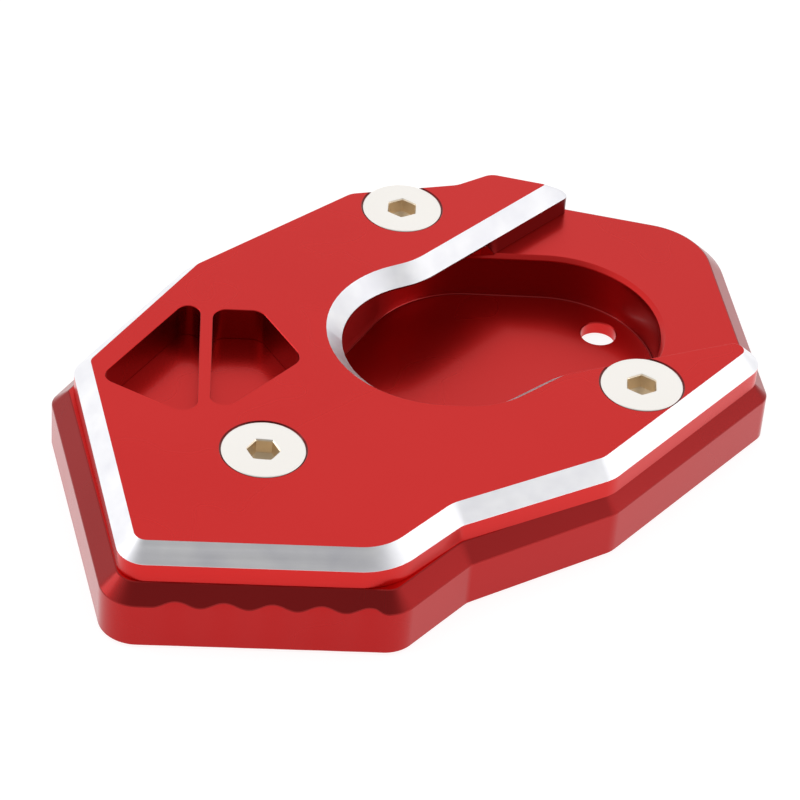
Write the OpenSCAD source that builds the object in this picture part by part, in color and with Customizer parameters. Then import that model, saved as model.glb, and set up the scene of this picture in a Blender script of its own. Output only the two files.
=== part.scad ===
// Side-stand foot plate: a thick base plate with a pocket for the foot of a motorcycle's
// side stand, and a hook-shaped clamp plate that three countersunk screws hold down on it.
// The origin is the centre of the footprint, on the ground face. +X is to the right,
// +Y is to the back, where the hook opens, and +Z is up.

/* [Base plate] */
// Thickness of the base plate
base_t = 9.8; // [9.4:0.2:14]
// Width of the 45 degree bevel round the top of both plates
bevel = 2.4; // [1.2:0.1:2.8]
// Width of the small bevel round the ground face
ground_bevel = 0.4; // [0.2:0.1:1]
// Depth of the scallops at the top of the front wall
scallop_depth = 0.65; // [0.3:0.05:0.9]
// Distance from one scallop to the next
scallop_pitch = 6.8; // [6:0.1:7]

/* [Foot pocket] */
// Depth of the pocket in the base plate
pocket_depth = 7.6; // [5:0.1:8]
// Radius of the pocket's three round stretches
pocket_r = 16.8; // [15.5:0.1:17]
// Depth of the relief under the clamp plate's lip, where it hangs over the pocket
relief_depth = 2.6; // [1:0.1:2.8]
// Width of the small bevel on the pocket's rim
rim_bevel = 0.6; // [0.2:0.1:0.8]
// Radius of the drain hole in the pocket's floor
drain_r = 2.7; // [1.5:0.1:3]

/* [Clamp plate] */
// Thickness of the clamp plate
clamp_t = 5.4; // [4.6:0.2:7]

/* [Screws] */
// Radius of the screw's shank
shank_r = 2.95; // [2.9:0.01:2.97]
// Length of the screw from the top of its head to its tip
screw_len = 12; // [10:1:14]
// Radius of the screw's head
head_r = 6; // [5.6:0.1:6.2]
// Height of the straight rim round the screw's head
head_rim = 0.1; // [0.1:0.05:0.2]
// Width of the hexagon socket across its flats
socket_af = 4; // [3.5:0.1:4.2]
// Depth of the hexagon socket
socket_depth = 2.3; // [1.5:0.1:2.5]

/* [Hidden] */
$fn = 96;
RED = "firebrick";
STEEL = "gainsboro";

// Thread size: the tapped holes and the clamp plate's clearance holes
tapped_r = 3;
clear_r = 3.3;
head_drop = 0.1;     // how far the head's top lies below the plate's face
seat_gap = 0.02;     // running gap between the head's cone and its countersink
mouth_r = head_r + head_rim + head_drop + seat_gap;
socket_tip = 0.7;    // depth of the drilled cone under the socket
tip_bevel = 0.5;     // bevel on the screw's tip
slack = 0.8;         // how far the bevel's cutter runs past the wall and the face
cut = 1;             // how far a cutter runs past the face it opens
top_z = base_t + clamp_t;
floor_z = base_t - pocket_depth;

// Screws: place on the plates and the turn of the hexagon socket
FRONT = [-22, -23.7, -4];
SIDE = [32.3, -6.2, 26];
BACK = [-1.4, 34.4, 26];

// Outlines are corners [x, y, fillet radius], counter-clockwise, at the plate's side wall
BASE = [
    [-43, -48.4, 5.5],
    [-2.6, -48.4, 5],
    [7, -37.8, 3],
    [28, -26, 5],
    [52.4, 1.2, 3],
    [47.2, 40, 13],
    [11.7, 48.7, 5],
    [5.5, 45.3, 2],
    [-11.2, 42, 7],
    [-35.8, 21.5, 7],
    [-52.5, -5.3, 3]
];
CLAMP = [
    [10.6, -10.2, 10.6],
    [-10.7, -10.2, 14.5],
    [-10.7, 13.5, 14.4],
    [1.5, 19.2, 14.4],
    [25.6, 43.2, 1.2],
    [12.2, 46.6, 4.9],
    [6.4, 43.1, 2],
    [-10.2, 39.7, 5.4],
    [-33.9, 19.9, 5.4],
    [-49.4, -4.8, 4],
    [-41, -45.9, 4.2],
    [-4.3, -45.9, 10.4],
    [5.5, -35.7, 3.6],
    [27.3, -24.7, 6.4],
    [59.1, 11, 3.8],
    [20.2, -2.5, 6.4]
];
// Two windows on either side of a straight rib
LEFT_WINDOW = [[-31.4, -17.4, 2.2], [-31.4, 12.4, 1.8], [-45.4, -9, 2]];
RIGHT_WINDOW = [[-29.6, -17.4, 2], [-16.4, -3.2, 2.6], [-22.6, 7.6, 2.4], [-29.6, 7.6, 2]];
// Centres of the three round stretches of the pocket
POCKET = [[4, 4.4, 0], [20.4, 13.5, 0], [9.5, 13.6, 0]];
DRAIN = [29.1, 21.8];
SCALLOP_X = -33.6;   // first scallop
SCALLOPS = 5;
scallop_r = 5;
front_y = BASE[0][1];

MIN_R = 0.2;         // smallest fillet left on a corner
ARC_STEP = 7.5;      // degrees from one point of a fillet to the next

function xy(c) = [c[0], c[1]];
function along(a, b) = (xy(b) - xy(a)) / norm(xy(b) - xy(a));
function outward(d) = [d[1], -d[0]];
function cross2(u, v) = u[0] * v[1] - u[1] * v[0];

// The fillet of corner b between its neighbours, with the whole outline grown outwards:
// the corner moves along its mitre, and the fillet's points turn from one wall to the next
function fillet(a, b, c, grow) =
    let (
        u = along(a, b),
        v = along(b, c),
        side = sign(cross2(u, v)),
        mitre = (outward(u) + outward(v)) / (1 + u * v),
        r = max(MIN_R, b[2] + side * grow),
        centre = xy(b) + (grow - side * r) * mitre,
        first = atan2(outward(u)[1], outward(u)[0]),
        turn = atan2(cross2(u, v), u * v),
        steps = max(2, ceil(abs(turn) / ARC_STEP))
    )
    [for (k = [0:steps]) centre + side * r * [cos(first + turn * k / steps), sin(first + turn * k / steps)]];

function outline(corners, grow = 0) =
    let (n = len(corners))
    [for (i = [0:n - 1]) each fillet(corners[(i + n - 1) % n], corners[i], corners[(i + 1) % n], grow)];

// A plate whose side is a stack of outlines, each level being [height, growth]
module plate(corners, levels) {
    rings = [for (level = levels) outline(corners, level[1])];
    n = len(rings[0]);
    last = len(levels) - 1;
    points = [for (j = [0:last]) for (p = rings[j]) [p[0], p[1], levels[j][0]]];
    sides = [for (j = [0:last - 1]) for (i = [0:n - 1])
        [j * n + i, (j + 1) * n + i, (j + 1) * n + (i + 1) % n, j * n + (i + 1) % n]];
    ground = [for (i = [0:n - 1]) i];
    top = [for (i = [n - 1:-1:0]) last * n + i];
    polyhedron(points, concat([ground, top], sides));
}

// The pocket's outline: three circles and the straight walls that touch them
module pocket_outline(grow = 0) {
    r = pocket_r + grow;
    for (c = POCKET) translate(xy(c)) circle(r);
    polygon([for (i = [0:2])
        let (a = POCKET[i], b = POCKET[(i + 1) % 3], out = r * outward(along(a, b)))
        each [xy(a) + out, xy(b) + out]]);
}

// A rim bevel in two steps that follows the pocket's outline
module pocket_cut() {
    translate([0, 0, floor_z]) linear_extrude(pocket_depth + cut) pocket_outline();
    for (k = [0:1]) translate([0, 0, base_t - rim_bevel * (2 - k) / 2])
        linear_extrude(rim_bevel + cut) pocket_outline(rim_bevel * (k + 1) / 2);
}

module scallop(i) {
    lean = atan(scallop_depth / (base_t - bevel));
    translate([SCALLOP_X + scallop_pitch * i, front_y - scallop_r, 0])
        rotate([-lean, 0, 0]) translate([0, 0, -cut]) cylinder(h = base_t + 2 * cut, r = scallop_r);
}

module tapped_hole(at) {
    translate([at[0], at[1], -cut]) cylinder(h = base_t + 2 * cut, r = tapped_r);
}

module countersink(at) {
    translate([at[0], at[1], 0]) {
        translate([0, 0, base_t - cut]) cylinder(h = clamp_t + 2 * cut, r = clear_r);
        translate([0, 0, top_z - mouth_r + clear_r])
            cylinder(h = mouth_r - clear_r + cut, r1 = clear_r, r2 = mouth_r + cut);
    }
}

module base_plate() {
    color(RED) difference() {
        plate(BASE, [[0, -ground_bevel], [ground_bevel, 0], [base_t - bevel, 0], [base_t, -bevel]]);
        pocket_cut();
        translate([DRAIN[0], DRAIN[1], -cut]) cylinder(h = base_t, r = drain_r);
        for (at = [FRONT, SIDE, BACK]) tapped_hole(at);
        for (i = [0:SCALLOPS - 1]) scallop(i);
    }
}

// A ring that cuts a 45 degree bevel of this width round the top of a plate with this outline
module bevel_cut(corners, top, width) {
    rings = [[slack, top - width - slack], [slack, top + slack], [-width - slack, top + slack]];
    n = len(outline(corners));
    points = [for (ring = rings) for (p = outline(corners, ring[0])) [p[0], p[1], ring[1]]];
    faces = [for (j = [0:2]) for (i = [0:n - 1])
        [j * n + i, (j + 1) % 3 * n + i, (j + 1) % 3 * n + (i + 1) % n, j * n + (i + 1) % n]];
    polyhedron(points, faces);
}

module clamp_plate() {
    color(RED) difference() {
        translate([0, 0, base_t]) linear_extrude(clamp_t) polygon(outline(CLAMP));
        bevel_cut(CLAMP, top_z, bevel);
        translate([0, 0, base_t - cut]) linear_extrude(relief_depth + cut) polygon(outline(POCKET, pocket_r));
        for (at = [FRONT, SIDE, BACK]) countersink(at);
        for (w = [LEFT_WINDOW, RIGHT_WINDOW])
            translate([0, 0, base_t - cut]) linear_extrude(clamp_t + 2 * cut) polygon(outline(w));
    }
}

// A countersunk screw with a hexagon socket, its head's top just below the plate's face
module countersunk_screw(at) {
    cone_h = head_r - shank_r;
    color(STEEL) translate([at[0], at[1], top_z - head_drop]) rotate(at[2]) difference() {
        union() {
            translate([0, 0, -head_rim]) cylinder(h = head_rim, r = head_r);
            translate([0, 0, -head_rim - cone_h]) cylinder(h = cone_h, r1 = shank_r, r2 = head_r);
            translate([0, 0, tip_bevel - screw_len]) cylinder(h = screw_len - head_rim - cone_h - tip_bevel, r = shank_r);
            translate([0, 0, -screw_len]) cylinder(h = tip_bevel, r1 = shank_r - tip_bevel, r2 = shank_r);
        }
        translate([0, 0, -socket_depth]) cylinder(h = socket_depth + cut, r = socket_af / 2 / cos(30), $fn = 6);
        translate([0, 0, -socket_depth - socket_tip]) cylinder(h = socket_tip, r1 = 0, r2 = socket_af / 2);
    }
}

module front_screw() {
    countersunk_screw(FRONT);
}

module side_screw() {
    countersunk_screw(SIDE);
}

module back_screw() {
    countersunk_screw(BACK);
}

base_plate();
clamp_plate();
front_screw();
side_screw();
back_screw();
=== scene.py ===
import bmesh
import bpy
import numpy as np
from mathutils import Matrix, Vector
from mathutils.geometry import delaunay_2d_cdt


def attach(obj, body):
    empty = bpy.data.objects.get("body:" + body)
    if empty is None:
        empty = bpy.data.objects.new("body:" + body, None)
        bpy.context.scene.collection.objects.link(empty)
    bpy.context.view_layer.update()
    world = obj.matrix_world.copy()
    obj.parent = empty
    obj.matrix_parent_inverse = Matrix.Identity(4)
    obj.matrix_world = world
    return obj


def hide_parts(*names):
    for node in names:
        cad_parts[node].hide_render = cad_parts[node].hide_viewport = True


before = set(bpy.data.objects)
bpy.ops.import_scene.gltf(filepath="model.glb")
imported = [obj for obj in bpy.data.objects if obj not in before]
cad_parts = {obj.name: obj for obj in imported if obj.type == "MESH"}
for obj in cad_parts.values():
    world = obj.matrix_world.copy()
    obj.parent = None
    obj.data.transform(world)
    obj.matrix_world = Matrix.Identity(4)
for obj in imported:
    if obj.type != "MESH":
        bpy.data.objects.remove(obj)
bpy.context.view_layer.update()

mm = 0.001

# shape of the whole foot plate, in millimetres: corners are [x, y, fillet radius] at the side wall
plates = {
    "baseTop": 9.8,
    "clampTop": 15.2,
    "bevel": 2.4,
    "groundBevel": 0.4,
    "minFillet": 0.2,
    "diagonal": 0.7071,                      # one side of a 45 degree step of length 1
    "pocketRadius": 16.8,
    "pocketCentres": [[4, 4.4, 0], [20.4, 13.5, 0], [9.5, 13.6, 0]],
    "frontScrew": (-22.0, -23.7, -4.0),      # x, y and the turn of the hexagon socket
    "sideScrew": (32.3, -6.2, 26.0),
    "backScrew": (-1.4, 34.4, 26.0),
}
screwSpots = [plates["frontScrew"], plates["sideScrew"], plates["backScrew"]]


# ---- outlines and shells ----

plateSag, holeSag = -0.0005, 0.0005      # sideways lean of a straight stretch, always into the metal
nearlySame = 1e-7



def outline(corners, grow=0.0, arcPoints=14, edgePoints=14, sag=plateSag):
    # each corner is an arc that turns from one wall's normal to the next about a centre on the
    # corner's mitre, and the straight stretch to the next arc is divided evenly; the stretch is
    # a parabola of height sag that leans into the metal, so no three of its points make a sliver
    c = np.asarray(corners, float)
    p, fillet = c[:, :2], c[:, 2]
    u = p - np.roll(p, 1, 0)
    u /= np.linalg.norm(u, axis=1)[:, None]
    v = np.roll(u, -1, 0)
    outU = np.stack((u[:, 1], -u[:, 0]), 1)
    outV = np.stack((v[:, 1], -v[:, 0]), 1)
    cross = u[:, 0] * v[:, 1] - u[:, 1] * v[:, 0]
    dot = (u * v).sum(1)
    side = np.sign(cross)
    radius = np.maximum(plates["minFillet"], fillet + side * grow)
    centre = p + (grow - side * radius)[:, None] * (outU + outV) / (1 + dot)[:, None]
    first = np.arctan2(outU[:, 1], outU[:, 0])
    angle = first[:, None] + np.arctan2(cross, dot)[:, None] * np.linspace(0, 1, arcPoints)
    arcs = centre[:, None] + (side * radius)[:, None, None] * np.stack((np.cos(angle), np.sin(angle)), -1)
    s = (np.arange(1, edgePoints + 1) / (edgePoints + 1))[None, :, None]
    lean = 4 * sag * s * (1 - s) * outV[:, None]
    edges = arcs[:, -1:] * (1 - s) + np.roll(arcs[:, :1], -1, 0) * s + lean
    return np.concatenate((arcs, edges), 1).reshape(-1, 2)


def circleLoop(x, y, radius, points=96, turn=0.0):
    # points evenly round a circle; radius may be one number or one for each point
    a = np.arange(points) * 2 * np.pi / points + turn
    return np.stack((x + radius * np.cos(a), y + radius * np.sin(a)), 1)


def insideLoop(points, loop):
    # even-odd rule: a point is inside if a ray to the right crosses the loop an odd number of times
    a, b = loop, np.roll(loop, -1, 0)
    px, py = points[:, 0:1], points[:, 1:2]
    straddles = (a[:, 1] > py) != (b[:, 1] > py)
    rise = np.where(b[:, 1] == a[:, 1], 1e-12, b[:, 1] - a[:, 1])
    crossing = a[:, 0] + (py - a[:, 1]) * (b[:, 0] - a[:, 0]) / rise
    return (straddles & (px < crossing)).sum(1) % 2 == 1


def newShell():
    # an empty mesh in the making: points by loop, faces, and a material slot for each face
    return {"points": [], "count": 0, "faces": [], "slots": []}


def addPoints(shell, xy, z):
    # a loop of points at height z, which may be one number or one for each point; gives their indices
    xy = np.asarray(xy, float).reshape(-1, 2)
    shell["points"].append(np.column_stack((xy, np.broadcast_to(z, len(xy)))))
    shell["count"] += len(xy)
    return np.arange(shell["count"] - len(xy), shell["count"])


def addFaces(shell, rows, slot):
    # slot is one material number for all the faces or one for each
    shell["faces"] += rows.tolist()
    shell["slots"] += np.broadcast_to(slot, len(rows)).tolist()


def addBand(shell, a, b, slot=0, closed=True):
    # quads from loop a to loop b: an outer wall goes from its lower loop to its upper one
    rows = np.stack((a, np.roll(a, -1), np.roll(b, -1), b), 1)
    addFaces(shell, rows if closed else rows[:-1], slot)


def addBands(shell, loops, slot=0):
    # a band between each loop and the next
    for a, b in zip(loops, loops[1:]):
        addBand(shell, a, b, slot)


def addCap(shell, loops, slot=0, up=True):
    # a flat face inside the first loop and outside the others, from their Delaunay triangles:
    # a triangle stays if its middle is in the first loop and in none of the others
    ids = np.concatenate(loops)
    xy = np.vstack(shell["points"])[ids][:, :2]
    starts = np.cumsum([0] + [len(loop) for loop in loops])
    edges = [(int(s + i), int(s + (i + 1) % (e - s)))
             for s, e in zip(starts, starts[1:]) for i in range(e - s)]
    made, _, triangles, origin, _, _ = delaunay_2d_cdt(xy.tolist(), edges, [], 0, nearlySame)
    index = np.array([o[0] for o in origin])
    triangles = np.array(triangles)
    middle = np.array([tuple(v) for v in made])[triangles].mean(1)
    keep = insideLoop(middle, xy[starts[0]:starts[1]])
    for s, e in zip(starts[1:], starts[2:]):
        keep &= ~insideLoop(middle, xy[s:e])
    rows = ids[index[triangles[keep]]]
    addFaces(shell, rows if up else rows[:, ::-1], slot)


def addFan(shell, loop, x, y, z, slot=0):
    # closes a loop with triangles to one point
    tip = addPoints(shell, [[x, y]], z)[0]
    addFaces(shell, np.stack((loop, np.roll(loop, -1), np.full(len(loop), tip)), 1), slot)


def shellMesh(shell, name, materials=()):
    # turns millimetres into metres, and points every face outwards
    mesh = bpy.data.meshes.new(name)
    mesh.from_pydata((np.vstack(shell["points"]) * mm).tolist(), [], shell["faces"])
    for m in materials:
        mesh.materials.append(m)
    mesh.polygons.foreach_set("material_index", shell["slots"])
    made = bmesh.new()
    made.from_mesh(mesh)
    bmesh.ops.recalc_face_normals(made, faces=made.faces[:])
    made.to_mesh(mesh)
    made.free()
    return mesh


def cutMesh(mesh, cutter):
    # the first mesh with the second taken out of it
    whole = bpy.data.objects.new("whole", mesh)
    tool = bpy.data.objects.new("tool", cutter)
    for o in (whole, tool):
        bpy.context.scene.collection.objects.link(o)
    cut = whole.modifiers.new("cut", "BOOLEAN")
    cut.operation, cut.solver, cut.object = "DIFFERENCE", "EXACT", tool
    done = bpy.data.meshes.new_from_object(whole.evaluated_get(bpy.context.evaluated_depsgraph_get()))
    for o in (whole, tool):
        bpy.data.objects.remove(o)
    return done


def finishPiece(mesh, name, body, replaced, sharpAngle=18.0):
    # smooth shading up to the sharp angle, one body and the node it stands for; an open
    # edge is one that hasn't exactly two faces
    made = bmesh.new()
    made.from_mesh(mesh)
    openEdges = sum(1 for e in made.edges if len(e.link_faces) != 2)
    made.free()
    mesh.shade_smooth()
    mesh.set_sharp_from_angle(angle=np.radians(sharpAngle))
    piece = bpy.data.objects.new(name, mesh)
    bpy.context.scene.collection.objects.link(piece)
    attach(piece, body)
    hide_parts(replaced)
    print(name, len(mesh.vertices), "points,", openEdges, "open edges")
    return piece


def threadDepth(angle, z, pitch, low, high):
    # 0 on the thread's crest and 1 at its root, one turn for each pitch, fading out at both ends
    phase = (z / pitch - angle / (2 * np.pi)) % 1.0
    fade = np.clip((z - low) / pitch, 0, 1) * np.clip((high - z) / pitch, 0, 1)
    return np.clip(1.25 * np.abs(2 * phase - 1) - 0.125, 0, 1) * fade


# ---- materials ----

def node(tree, kind, **values):
    # a new node with its settings
    made = tree.nodes.new(kind)
    for key, value in values.items():
        setattr(made, key, value)
    return made


def link(tree, a, b):
    # output a feeds input b
    tree.links.new(a, b)


def mathNode(tree, operation, a, b):
    # a and b are each a number or an output
    made = node(tree, "ShaderNodeMath", operation=operation)
    for k, value in enumerate((a, b)):
        if isinstance(value, (int, float)):
            made.inputs[k].default_value = value
        else:
            link(tree, value, made.inputs[k])
    return made.outputs[0]


def noiseNode(tree, vector, scale, detail):
    # three-dimensional noise: both inputs come from other nodes
    noise = node(tree, "ShaderNodeTexNoise", noise_dimensions="3D")
    noise.inputs["Detail"].default_value = detail
    link(tree, vector, noise.inputs["Vector"])
    link(tree, scale, noise.inputs["Scale"])
    return noise.outputs["Fac"]


def grainGroup():
    # fine cutter lines along x, a bead-blasted grain and a slow drift of tone; the height is the
    # lines times their amount plus the grain times its amount
    alongLines = 0.02
    tree = bpy.data.node_groups.new("machinedGrain", "ShaderNodeTree")
    face = tree.interface
    face.new_socket("Vector", in_out="INPUT", socket_type="NodeSocketVector")
    for label in ("Line Scale", "Line Amount", "Grain Scale", "Grain Amount", "Drift Scale"):
        face.new_socket(label, in_out="INPUT", socket_type="NodeSocketFloat")
    for label in ("Height", "Drift", "Lines"):
        face.new_socket(label, in_out="OUTPUT", socket_type="NodeSocketFloat")
    enter = node(tree, "NodeGroupInput")
    leave = node(tree, "NodeGroupOutput")
    stretch = node(tree, "ShaderNodeVectorMath", operation="MULTIPLY")
    stretch.inputs[1].default_value = (alongLines, 1.0, 1.0)
    link(tree, enter.outputs["Vector"], stretch.inputs[0])
    lines = noiseNode(tree, stretch.outputs[0], enter.outputs["Line Scale"], 3.0)
    grain = noiseNode(tree, enter.outputs["Vector"], enter.outputs["Grain Scale"], 2.0)
    drift = noiseNode(tree, enter.outputs["Vector"], enter.outputs["Drift Scale"], 2.0)
    tall = mathNode(tree, "ADD", mathNode(tree, "MULTIPLY", lines, enter.outputs["Line Amount"]),
                    mathNode(tree, "MULTIPLY", grain, enter.outputs["Grain Amount"]))
    link(tree, tall, leave.inputs["Height"])
    link(tree, drift, leave.inputs["Drift"])
    link(tree, lines, leave.inputs["Lines"])
    return tree


machinedGrain = grainGroup()


noiseSpan = (0.1, 0.9)


def metalMaterial(name, look):
    # a metal under a clear layer: colour and roughness go between two values with the noise, and
    # the grain's height goes to the bump
    mat = bpy.data.materials.new(name)
    mat.use_nodes = True
    tree = mat.node_tree
    shader = tree.nodes["Principled BSDF"]
    for label, value in look["shader"].items():
        shader.inputs[label].default_value = value
    place = node(tree, "ShaderNodeTexCoord")
    turned = node(tree, "ShaderNodeMapping")
    turned.inputs["Rotation"].default_value = look["turn"]
    link(tree, place.outputs["Object"], turned.inputs["Vector"])
    grain = node(tree, "ShaderNodeGroup", node_tree=machinedGrain)
    link(tree, turned.outputs["Vector"], grain.inputs["Vector"])
    for label, value in look["grain"].items():
        grain.inputs[label].default_value = value
    colour = node(tree, "ShaderNodeMix", data_type="RGBA")
    link(tree, grain.outputs["Drift"], colour.inputs["Factor"])
    colour.inputs["A"].default_value = (*look["colourA"], 1.0)
    colour.inputs["B"].default_value = (*look["colourB"], 1.0)
    link(tree, colour.outputs["Result"], shader.inputs["Base Color"])
    rough = node(tree, "ShaderNodeMapRange")
    for label, value in zip(("From Min", "From Max", "To Min", "To Max"), (*noiseSpan, *look["rough"])):
        rough.inputs[label].default_value = value
    link(tree, grain.outputs[look["roughFrom"]], rough.inputs["Value"])
    link(tree, rough.outputs["Result"], shader.inputs["Roughness"])
    bump = node(tree, "ShaderNodeBump")
    bump.inputs["Strength"].default_value = look["bump"]
    bump.inputs["Distance"].default_value = look["bumpDistance"]
    link(tree, grain.outputs["Height"], bump.inputs["Height"])
    link(tree, bump.outputs["Normal"], shader.inputs["Normal"])
    return mat


anodised = {
    "shader": {"Metallic": 0.9, "Coat Weight": 0.22, "Coat Roughness": 0.12, "Coat IOR": 1.5},
    "turn": (0.0, 0.0, 0.6),
    "grain": {"Line Scale": 900.0, "Line Amount": 0.12, "Grain Scale": 2600.0, "Grain Amount": 0.5,
              "Drift Scale": 38.0},
    "colourA": (0.59, 0.012, 0.011),
    "colourB": (0.63, 0.015, 0.013),
    "rough": (0.24, 0.32),
    "roughFrom": "Drift",
    "bump": 0.12,
    "bumpDistance": 0.00003,
}
bareMetal = {
    "shader": {"Metallic": 1.0, "Coat Weight": 0.0},
    "turn": (0.0, 0.0, 0.0),
    "grain": {"Line Scale": 1500.0, "Line Amount": 0.5, "Grain Scale": 1800.0, "Grain Amount": 0.2,
              "Drift Scale": 210.0},
    "colourA": (0.72, 0.72, 0.78),
    "colourB": (1.0, 1.0, 1.0),
    "rough": (0.30, 0.46),
    "roughFrom": "Lines",
    "bump": 0.2,
    "bumpDistance": 0.00004,
}
screwSteel = {
    "shader": {"Metallic": 1.0, "Coat Weight": 0.0},
    "turn": (0.0, 0.0, 0.3),
    "grain": {"Line Scale": 700.0, "Line Amount": 0.3, "Grain Scale": 2200.0, "Grain Amount": 0.7,
              "Drift Scale": 60.0},
    "colourA": (0.93, 0.90, 0.85),
    "colourB": (0.98, 0.95, 0.91),
    "rough": (0.26, 0.36),
    "roughFrom": "Drift",
    "bump": 0.15,
    "bumpDistance": 0.00003,
}


def tinted(name, look, colourA, colourB):
    # the same metal in another pair of colours; the darker pairs below stand in for shade
    return metalMaterial(name, {**look, "colourA": colourA, "colourB": colourB})


redBase = metalMaterial("redAnodisedBase", anodised)
# the next three reds are the same anodising as the base red, only darker: painted shade on the walls,
# bevels, pocket, windows, hook wall and countersinks
redWallShade = tinted("redAnodisedWallPaintedShade", anodised, (0.42, 0.007, 0.007), (0.46, 0.009, 0.009))
redCutShade = tinted("redAnodisedCutPaintedShade", anodised, (0.27, 0.006, 0.006), (0.31, 0.008, 0.008))
redDeepShade = tinted("redAnodisedDeepPaintedShade", anodised, (0.13, 0.006, 0.006), (0.17, 0.008, 0.008))
redClamp = tinted("redAnodisedClamp", anodised, (0.60, 0.012, 0.011), (0.65, 0.016, 0.014))
bareBevel = metalMaterial("bareBevel", bareMetal)
steel = metalMaterial("screwSteel", screwSteel)
# a darker, warmer copy of the screw steel for the hex socket: painted shade in the recess
socketShadedSteel = tinted("socketShadedSteel", screwSteel, (0.78, 0.66, 0.50), (0.86, 0.74, 0.58))
print("materials made")


# ---- base plate ----

basePlate = {
    "corners": [[-43, -48.4, 5.5], [-2.6, -48.4, 5], [7, -37.8, 3], [28, -26, 5], [52.4, 1.2, 3],
                [47.2, 40, 13], [11.7, 48.7, 5], [5.5, 45.3, 2], [-11.2, 42, 7], [-35.8, 21.5, 7],
                [-52.5, -5.3, 3]],
    "sag": 0.012,                            # more than elsewhere, as its walls have more points
    "arcPoints": 16,
    "edgePoints": 72,
    "edgeBreak": 0.10,
    "wallLoops": 9,
    "scallopFirst": -33.4,
    "scallopPitch": 6.6,
    "scallopCount": 5,
    "scallopDepth": 0.6,
    "scallopFade": 1.5,
    "pocketFloor": 2.2,
    "rimBevel": 0.6,
    "floorFillet": 0.25,
    "drain": (29.1, 21.8, 2.7),
    "tappedRadius": 2.99,
    "tapFlare": 0.3,
    "tapMargin": 0.35,
    "threadDepth": 0.33,
    "pitch": 1.0,
}


def scallopAt(x, on):
    # a row of cosine waves along the front wall: half the depth times one plus the cosine
    first, pitch, count = on["scallopFirst"], on["scallopPitch"], on["scallopCount"]
    wave = 0.5 + 0.5 * np.cos(2 * np.pi * (x - first) / pitch)
    inRow = (x > first - pitch / 2) & (x < first + (count - 0.5) * pitch)
    return on["scallopDepth"] * wave * inRow


def tappedHole(shell, x, y, on, top):
    # a helical thread: the radius depends on the angle round the hole and the height, between
    # a small flare at each face
    points, turns = 72, 85
    low, high, flared = on["tapMargin"], top - on["tapMargin"], on["tappedRadius"] + on["tapFlare"]
    angle = np.arange(points) * 2 * np.pi / points
    loops = [addPoints(shell, circleLoop(x, y, flared, points), top)]
    for z in np.linspace(high, low, turns):
        radius = on["tappedRadius"] + on["threadDepth"] * threadDepth(angle, z, on["pitch"], low, high)
        loops.append(addPoints(shell, circleLoop(x, y, radius, points), z))
    loops.append(addPoints(shell, circleLoop(x, y, flared, points), 0.0))
    addBands(shell, loops)
    return loops[0], loops[-1]


def buildBase(on):
    # loops at rising heights: side wall, bevel, then the pocket from its rim down to the floor. A
    # scallop's dip is full at the bevel's foot and runs out downwards and up the bevel
    shell = newShell()
    top, bevel, e = plates["baseTop"], plates["bevel"], on["edgeBreak"]
    foot = top - bevel
    wall = outline(on["corners"], 0.0, on["arcPoints"], on["edgePoints"], -on["sag"])
    onFront = wall[:, 1] < on["corners"][0][1] + 1.1 * on["sag"]
    rest = np.clip((wall[onFront, 0].max() - wall[:, 0]) / on["scallopFade"], 0, 1)
    dip = np.where(onFront, scallopAt(wall[:, 0], on) * rest, 0.0)
    half = e * plates["diagonal"]
    levels = [(0.0, -plates["groundBevel"])]
    levels += [(z, 0.0) for z in np.linspace(plates["groundBevel"], foot - e, on["wallLoops"] - 1)]
    levels += [(foot + half, -half)]
    levels += [(foot + s, -s) for s in np.linspace(0.6, bevel - 0.5, 3)]
    levels += [(top - half, half - bevel), (top, -bevel - e)]
    loops = []
    for z, grow in levels:
        xy = outline(on["corners"], grow, on["arcPoints"], on["edgePoints"], -on["sag"])
        share = z / foot if z <= foot else max(0.0, 1 - (z - foot) / bevel)
        lift = z / foot * share if z <= foot else share
        xy[:, 1] += dip * share
        loops.append(addPoints(shell, xy, z + dip * lift))
    # the side walls take the darker wall red and the bevel the darker cut red: painted shade on the same
    # anodising as the top face
    addBands(shell, loops[:on["wallLoops"]], 1)
    addBands(shell, loops[on["wallLoops"] - 1:], 2)

    floor, rim = on["pocketFloor"], on["rimBevel"]
    pocket = plates["pocketCentres"]
    r = plates["pocketRadius"]
    depth = [(top, rim + 0.06), (top - 0.06, rim - 0.04)]
    depth += [(top - rim + 0.06, 0.04), (top - rim - 0.1, 0.0)]
    depth += [(z, 0.0) for z in np.linspace(top - rim - 1.2, floor + on["floorFillet"], 5)]
    turn = np.radians([22.5, 45, 67.5, 90])
    fillet = on["floorFillet"]
    depth += [(floor + fillet * (1 - np.sin(a)), fillet * (np.cos(a) - 1)) for a in turn]
    hole = [addPoints(shell, outline(pocket, r + grow, 64, 8, holeSag), z) for z, grow in depth]
    addBands(shell, hole[:4])
    # the pocket's wall and floor fillet take the darker cut red: painted shade in the pocket
    addBands(shell, hole[3:], 2)
    dx, dy, dr = on["drain"]
    drain = [addPoints(shell, circleLoop(dx, dy, dr + grow), z)
             for z, grow in ((floor, 0.15), (floor - 0.15, 0.0), (0.2, 0.0), (0.0, 0.2))]
    addBands(shell, drain)
    addCap(shell, [hole[-1], drain[0]])

    ends = [tappedHole(shell, x, y, on, top) for x, y, _ in screwSpots]
    addCap(shell, [loops[-1], hole[0]] + [a for a, _ in ends])
    addCap(shell, [loops[0], drain[-1]] + [b for _, b in ends], up=False)
    mesh = shellMesh(shell, "basePlate", [redBase, redWallShade, redCutShade])
    return finishPiece(mesh, "base_plate_visual", "base", "base_plate")


buildBase(basePlate)


# ---- clamp plate ----

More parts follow.
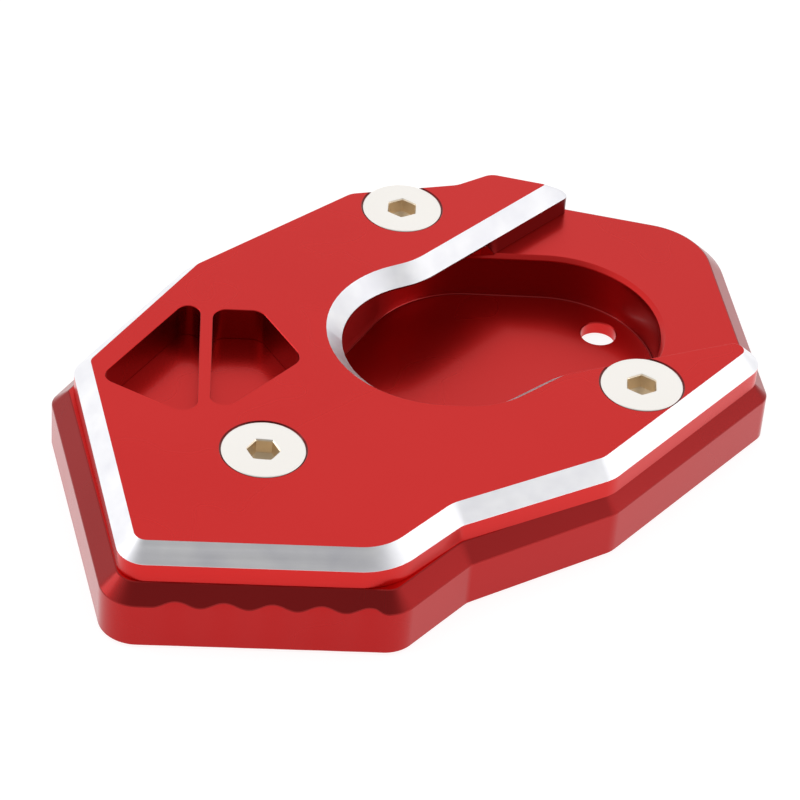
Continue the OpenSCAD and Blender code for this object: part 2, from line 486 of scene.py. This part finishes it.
clampPlate = {
    "corners": [[-41, -45.9, 4.2], [-4.3, -45.9, 10.4], [5.5, -35.7, 3.6], [27.3, -24.7, 6.4],
                [59.1, 11, 3.8], [20.2, -2.5, 6.4], [10.6, -10.2, 10.6], [-10.7, -10.2, 14.5],
                [-10.7, 13.5, 14.4], [1.5, 19.2, 14.4], [25.6, 43.2, 1.2], [12.2, 46.6, 4.9],
                [6.4, 43.1, 2], [-10.2, 39.7, 5.4], [-33.9, 19.9, 5.4], [-49.4, -4.8, 4]],
    "leftWindow": [[-31.4, -17.4, 2.2], [-31.4, 12.4, 1.8], [-45.4, -9, 2]],
    "rightWindow": [[-29.6, -17.4, 2], [-16.4, -3.2, 2.6], [-22.6, 7.6, 2.4], [-29.6, 7.6, 2]],
    "edgeBreak": 0.02,
    "windowBreak": 0.08,
    "reliefTop": 12.4,
    "hookLine": 17.7,                        # the hook's inner wall runs along y = x + this
    "hookReach": 1.5,
    "countersinkRadius": 6.22,
    "clearRadius": 3.3,
}


def buildClamp(on):
    # loops at rising heights: a short side wall and the bare bevel, then both faces with windows
    shell = newShell()
    low, top, bevel, e = plates["baseTop"], plates["clampTop"], plates["bevel"], on["edgeBreak"]
    foot = top - bevel
    half = e * plates["diagonal"]
    pocket, ceilingRim = (outline(plates["pocketCentres"], plates["pocketRadius"], 64, 8, sag)
                          for sag in (holeSag, -holeSag))

    # where the outline hangs over the pocket its underside is relieved, so the lip there is thin
    rim = outline(on["corners"], -0.1)
    over = insideLoop(rim, pocket)
    start = int(np.argmax(over & ~np.roll(over, 1)))
    over = np.roll(over, -start)
    under = np.where(over, on["reliefTop"], low)
    levels = [(under, -0.1), (under + 0.1, 0.0), (foot - e, 0.0), (foot + half, -half)]
    levels += [(foot + s, -s) for s in np.linspace(0.6, bevel - 0.6, 3)]
    levels += [(top - half, half - bevel), (top, -bevel - e)]
    loops = [addPoints(shell, np.roll(outline(on["corners"], grow), -start, 0), z) for z, grow in levels]
    flank = np.roll(outline(on["corners"]), -start, 0)
    offLine = np.abs(flank[:, 1] - flank[:, 0] - on["hookLine"])
    hookShadeSide = (offLine < on["hookReach"]) & (flank[:, 0] > 0)
    # the hook's inner wall and the relieved wall over the pocket take the deep red: painted shade under
    # the lip
    side = np.where(hookShadeSide | over, 2, 0)
    for a, b in zip(loops[:2], loops[1:3]):
        addBand(shell, a, b, side)
    addBands(shell, loops[2:-1], 1)
    addBand(shell, loops[-2], loops[-1])

    run = int(over.sum())
    within = insideLoop(pocket, outline(on["corners"], -0.5))
    first, count = int(np.argmax(within & ~np.roll(within, 1))), int(within.sum())
    pocket = np.roll(pocket, -first, 0)[:count]
    lower = addPoints(shell, pocket, low)
    upper = addPoints(shell, np.roll(ceilingRim, -first, 0)[:count], on["reliefTop"])
    addBand(shell, upper, lower, closed=False)
    edge = loops[0]
    near = np.linalg.norm(pocket[0] - np.vstack(shell["points"])[edge[run - 1]][:2])
    far = np.linalg.norm(pocket[-1] - np.vstack(shell["points"])[edge[run - 1]][:2])
    if far < near:
        lower, upper = lower[::-1], upper[::-1]
    ceiling = np.concatenate((edge[:run], upper))
    joins = [[edge[run - 1], upper[0], lower[0], edge[run]], [edge[-1], lower[-1], upper[-1], edge[0]]]
    addFaces(shell, np.array(joins), 0)

    holes = []
    b = on["windowBreak"]
    for corners in (on["leftWindow"], on["rightWindow"]):
        levels = [(top, b), (top - b, 0.0), (low + b, 0.0), (low, b)]
        holes.append([addPoints(shell, outline(corners, grow, sag=holeSag), z) for z, grow in levels])
        addBand(shell, *holes[-1][:2])
        # the window walls take the darker cut red: painted shade on the same anodising
        addBands(shell, holes[-1][1:], 3)
    addCap(shell, [loops[-1]] + [h[0] for h in holes])
    addCap(shell, [ceiling], up=False)
    addCap(shell, [np.concatenate((edge[run:], lower[::-1]))] + [h[-1] for h in holes], up=False)

    # the countersinks run into the bevel at two screws, so they are cut as whole cones; the cones' faces
    # are in slot 2, the deep red that paints shade round each head
    tool = newShell()
    mouth, clear, past = on["countersinkRadius"], on["clearRadius"], 1.0
    cone = ((low - past, clear), (top - mouth + clear, clear), (top + past, mouth + past))
    for x, y, _ in screwSpots:
        rings = [addPoints(tool, circleLoop(x, y, r), z) for z, r in cone]
        addBands(tool, rings, 2)
        addFan(tool, rings[0], x, y, low - past, 2)
        addFan(tool, rings[-1], x, y, top + past, 2)
    whole = shellMesh(shell, "clampPlate", [redClamp, bareBevel, redDeepShade, redCutShade])
    mesh = cutMesh(whole, shellMesh(tool, "countersinks"))
    return finishPiece(mesh, "clamp_plate_visual", "clamp", "clamp_plate")


buildClamp(clampPlate)


# ---- screws ----

screw = {
    "headRadius": 6.0,
    "headRim": 0.3,
    "shankRadius": 2.93,
    "threadDepth": 0.48,
    "pitch": 1.0,
    "length": 12.0,
    "socketWidth": 4.0,
    "socketDepth": 2.3,
    "socketTip": 0.7,
    "socketRounding": 0.012,
    "socketLoops": 5,
    "sharpAngle": 25.0,
}


def hexRadius(angle, width, rounding):
    # distance from the centre to a hexagon's side, drawn in a little at its corners
    a = (angle + np.pi / 6) % (np.pi / 3) - np.pi / 6
    return width / 2 / np.cos(a) * (1 - rounding * (np.abs(a) / (np.pi / 6)) ** 8)


def buildScrew(name, spot, body, on):
    # loops from the socket's floor up its hexagon, over the head, down the cone and the thread
    shell = newShell()
    points = 120
    x, y, turn = spot
    angle = np.arange(points) * 2 * np.pi / points
    top = plates["clampTop"]
    hexagon = hexRadius(angle - np.pi / 6, on["socketWidth"], on["socketRounding"])
    head, shank = on["headRadius"], on["shankRadius"]
    coneLow = top - on["headRim"] - (head - shank)
    tip = top - on["length"]
    bowl = top - on["socketDepth"]
    rows = [(bowl, on["socketWidth"] / 2 * 0.97), (bowl, hexagon * 0.995), (bowl + 0.08, hexagon),
            (top - 0.22, hexagon), (top - 0.05, hexagon + 0.13), (top, hexagon + 0.2), (top, 2.9),
            (top, 4.2), (top, head - 0.3), (top - 0.04, head - 0.15), (top - 0.12, head - 0.05),
            (top - on["headRim"], head), (coneLow, shank), (coneLow - 0.2, shank)]
    for z in np.linspace(coneLow - 0.25, tip + 0.55, 104):
        root = threadDepth(angle, z, on["pitch"], tip + 0.5, coneLow - 0.2)
        rows.append((z, shank - on["threadDepth"] * root))
    rows += [(tip + 0.45, shank - 0.03), (tip, shank - 0.5)]
    loops = [addPoints(shell, circleLoop(x, y, r, points, np.radians(turn)), z) for z, r in rows]
    # the socket's floor and walls take the darker socket steel, painted shade in the recess
    addFan(shell, loops[0], x, y, bowl - on["socketTip"], 1)
    addBands(shell, loops[:on["socketLoops"]], 1)
    addBands(shell, loops[on["socketLoops"] - 1:])
    addFan(shell, loops[-1], x, y, tip)
    mesh = shellMesh(shell, name, [steel, socketShadedSteel])
    return finishPiece(mesh, name + "_visual", body, name, on["sharpAngle"])


buildScrew("front_screw", plates["frontScrew"], "front_bolt", screw)
buildScrew("side_screw", plates["sideScrew"], "side_bolt", screw)
buildScrew("back_screw", plates["backScrew"], "back_bolt", screw)


# ---- floor, light and camera ----

studio = {
    "floorSize": 6.0,
    "floorColour": (0.22, 0.22, 0.22),
    "floorGlow": 0.88,
    "worldBright": 0.96,
    "worldDim": 0.40,
    "dimFrom": (0.0, -0.70, 0.71),
    "dimSpan": (0.55, 0.95),
    "floorDrop": 0.0002,
    "panelSize": (0.8, 0.5),
}


def buildFloor(on):
    # one pale square that glows a little, just under the ground face
    half, low = on["floorSize"] / 2, -on["floorDrop"]
    mesh = bpy.data.meshes.new("floor")
    square = [(-half, -half, low), (half, -half, low), (half, half, low), (-half, half, low)]
    mesh.from_pydata(square, [], [(0, 1, 2, 3)])
    mat = bpy.data.materials.new("paleFloor")
    mat.use_nodes = True
    shader = mat.node_tree.nodes["Principled BSDF"]
    shader.inputs["Base Color"].default_value = (*on["floorColour"], 1.0)
    shader.inputs["Roughness"].default_value = 0.9
    shader.inputs["Emission Color"].default_value = (1.0, 1.0, 1.0, 1.0)
    shader.inputs["Emission Strength"].default_value = on["floorGlow"]
    mesh.materials.append(mat)
    floor = bpy.data.objects.new("floor", mesh)
    bpy.context.scene.collection.objects.link(floor)


def buildWorld(on):
    # bright all round, dimmer towards the front where the viewer stands
    world = bpy.data.worlds.new("studio")
    bpy.context.scene.world = world
    world.use_nodes = True
    tree = world.node_tree
    back = tree.nodes["Background"]
    place = node(tree, "ShaderNodeTexCoord")
    dot = node(tree, "ShaderNodeVectorMath", operation="DOT_PRODUCT")
    dot.inputs[1].default_value = on["dimFrom"]
    link(tree, place.outputs["Generated"], dot.inputs[0])
    ramp = node(tree, "ShaderNodeMapRange", interpolation_type="SMOOTHSTEP")
    ramp.inputs["From Min"].default_value, ramp.inputs["From Max"].default_value = on["dimSpan"]
    ramp.inputs["To Min"].default_value = on["worldBright"]
    ramp.inputs["To Max"].default_value = on["worldDim"]
    link(tree, dot.outputs["Value"], ramp.inputs["Value"])
    link(tree, ramp.outputs["Result"], back.inputs["Strength"])
    back.inputs["Color"].default_value = (1.0, 1.0, 1.0, 1.0)


def areaLight(name, place, size, power):
    # a rectangle of light that faces the origin
    data = bpy.data.lights.new(name, "AREA")
    data.shape = "RECTANGLE"
    data.size, data.size_y = size
    data.energy = power
    lamp = bpy.data.objects.new(name, data)
    lamp.rotation_euler = (-Vector(place)).to_track_quat("-Z", "Y").to_euler()
    lamp.location = place
    bpy.context.scene.collection.objects.link(lamp)


view = {
    "place": (-0.0319, -0.4036, 0.3356),
    "heading": 4.2626,                       # degrees from +Y towards +X
    "dip": 39.1987,                          # degrees below the horizon
    "roll": 4.79,
    "lens": 160.6,
}


def buildCamera(on):
    # the level axes come from heading and dip, and roll turns them about the line of sight
    data = bpy.data.cameras.new("camera")
    data.lens = on["lens"]
    data.sensor_width = 36.0
    camera = bpy.data.objects.new("camera", data)
    heading, dip, roll = np.radians((on["heading"], on["dip"], on["roll"]))
    level = np.array((np.sin(heading), np.cos(heading), 0.0))
    forward = np.cos(dip) * level + np.array((0.0, 0.0, -np.sin(dip)))
    right = np.array((level[1], -level[0], 0.0))
    up = np.cross(right, forward)
    across = np.cos(roll) * right + np.sin(roll) * up
    upward = np.cos(roll) * up - np.sin(roll) * right
    axes = np.eye(4)
    axes[:3, 0], axes[:3, 1], axes[:3, 2], axes[:3, 3] = across, upward, -forward, on["place"]
    camera.matrix_world = Matrix(axes.tolist())
    bpy.context.scene.collection.objects.link(camera)
    bpy.context.scene.camera = camera


buildFloor(studio)
buildWorld(studio)
areaLight("leftPanel", (-1.1, 0.0, 0.30), studio["panelSize"], 2.2)
areaLight("rightPanel", (1.1, -0.35, 0.25), studio["panelSize"], 2.6)
buildCamera(view)
bpy.context.scene.view_settings.view_transform = "Standard"

print("scene ready")
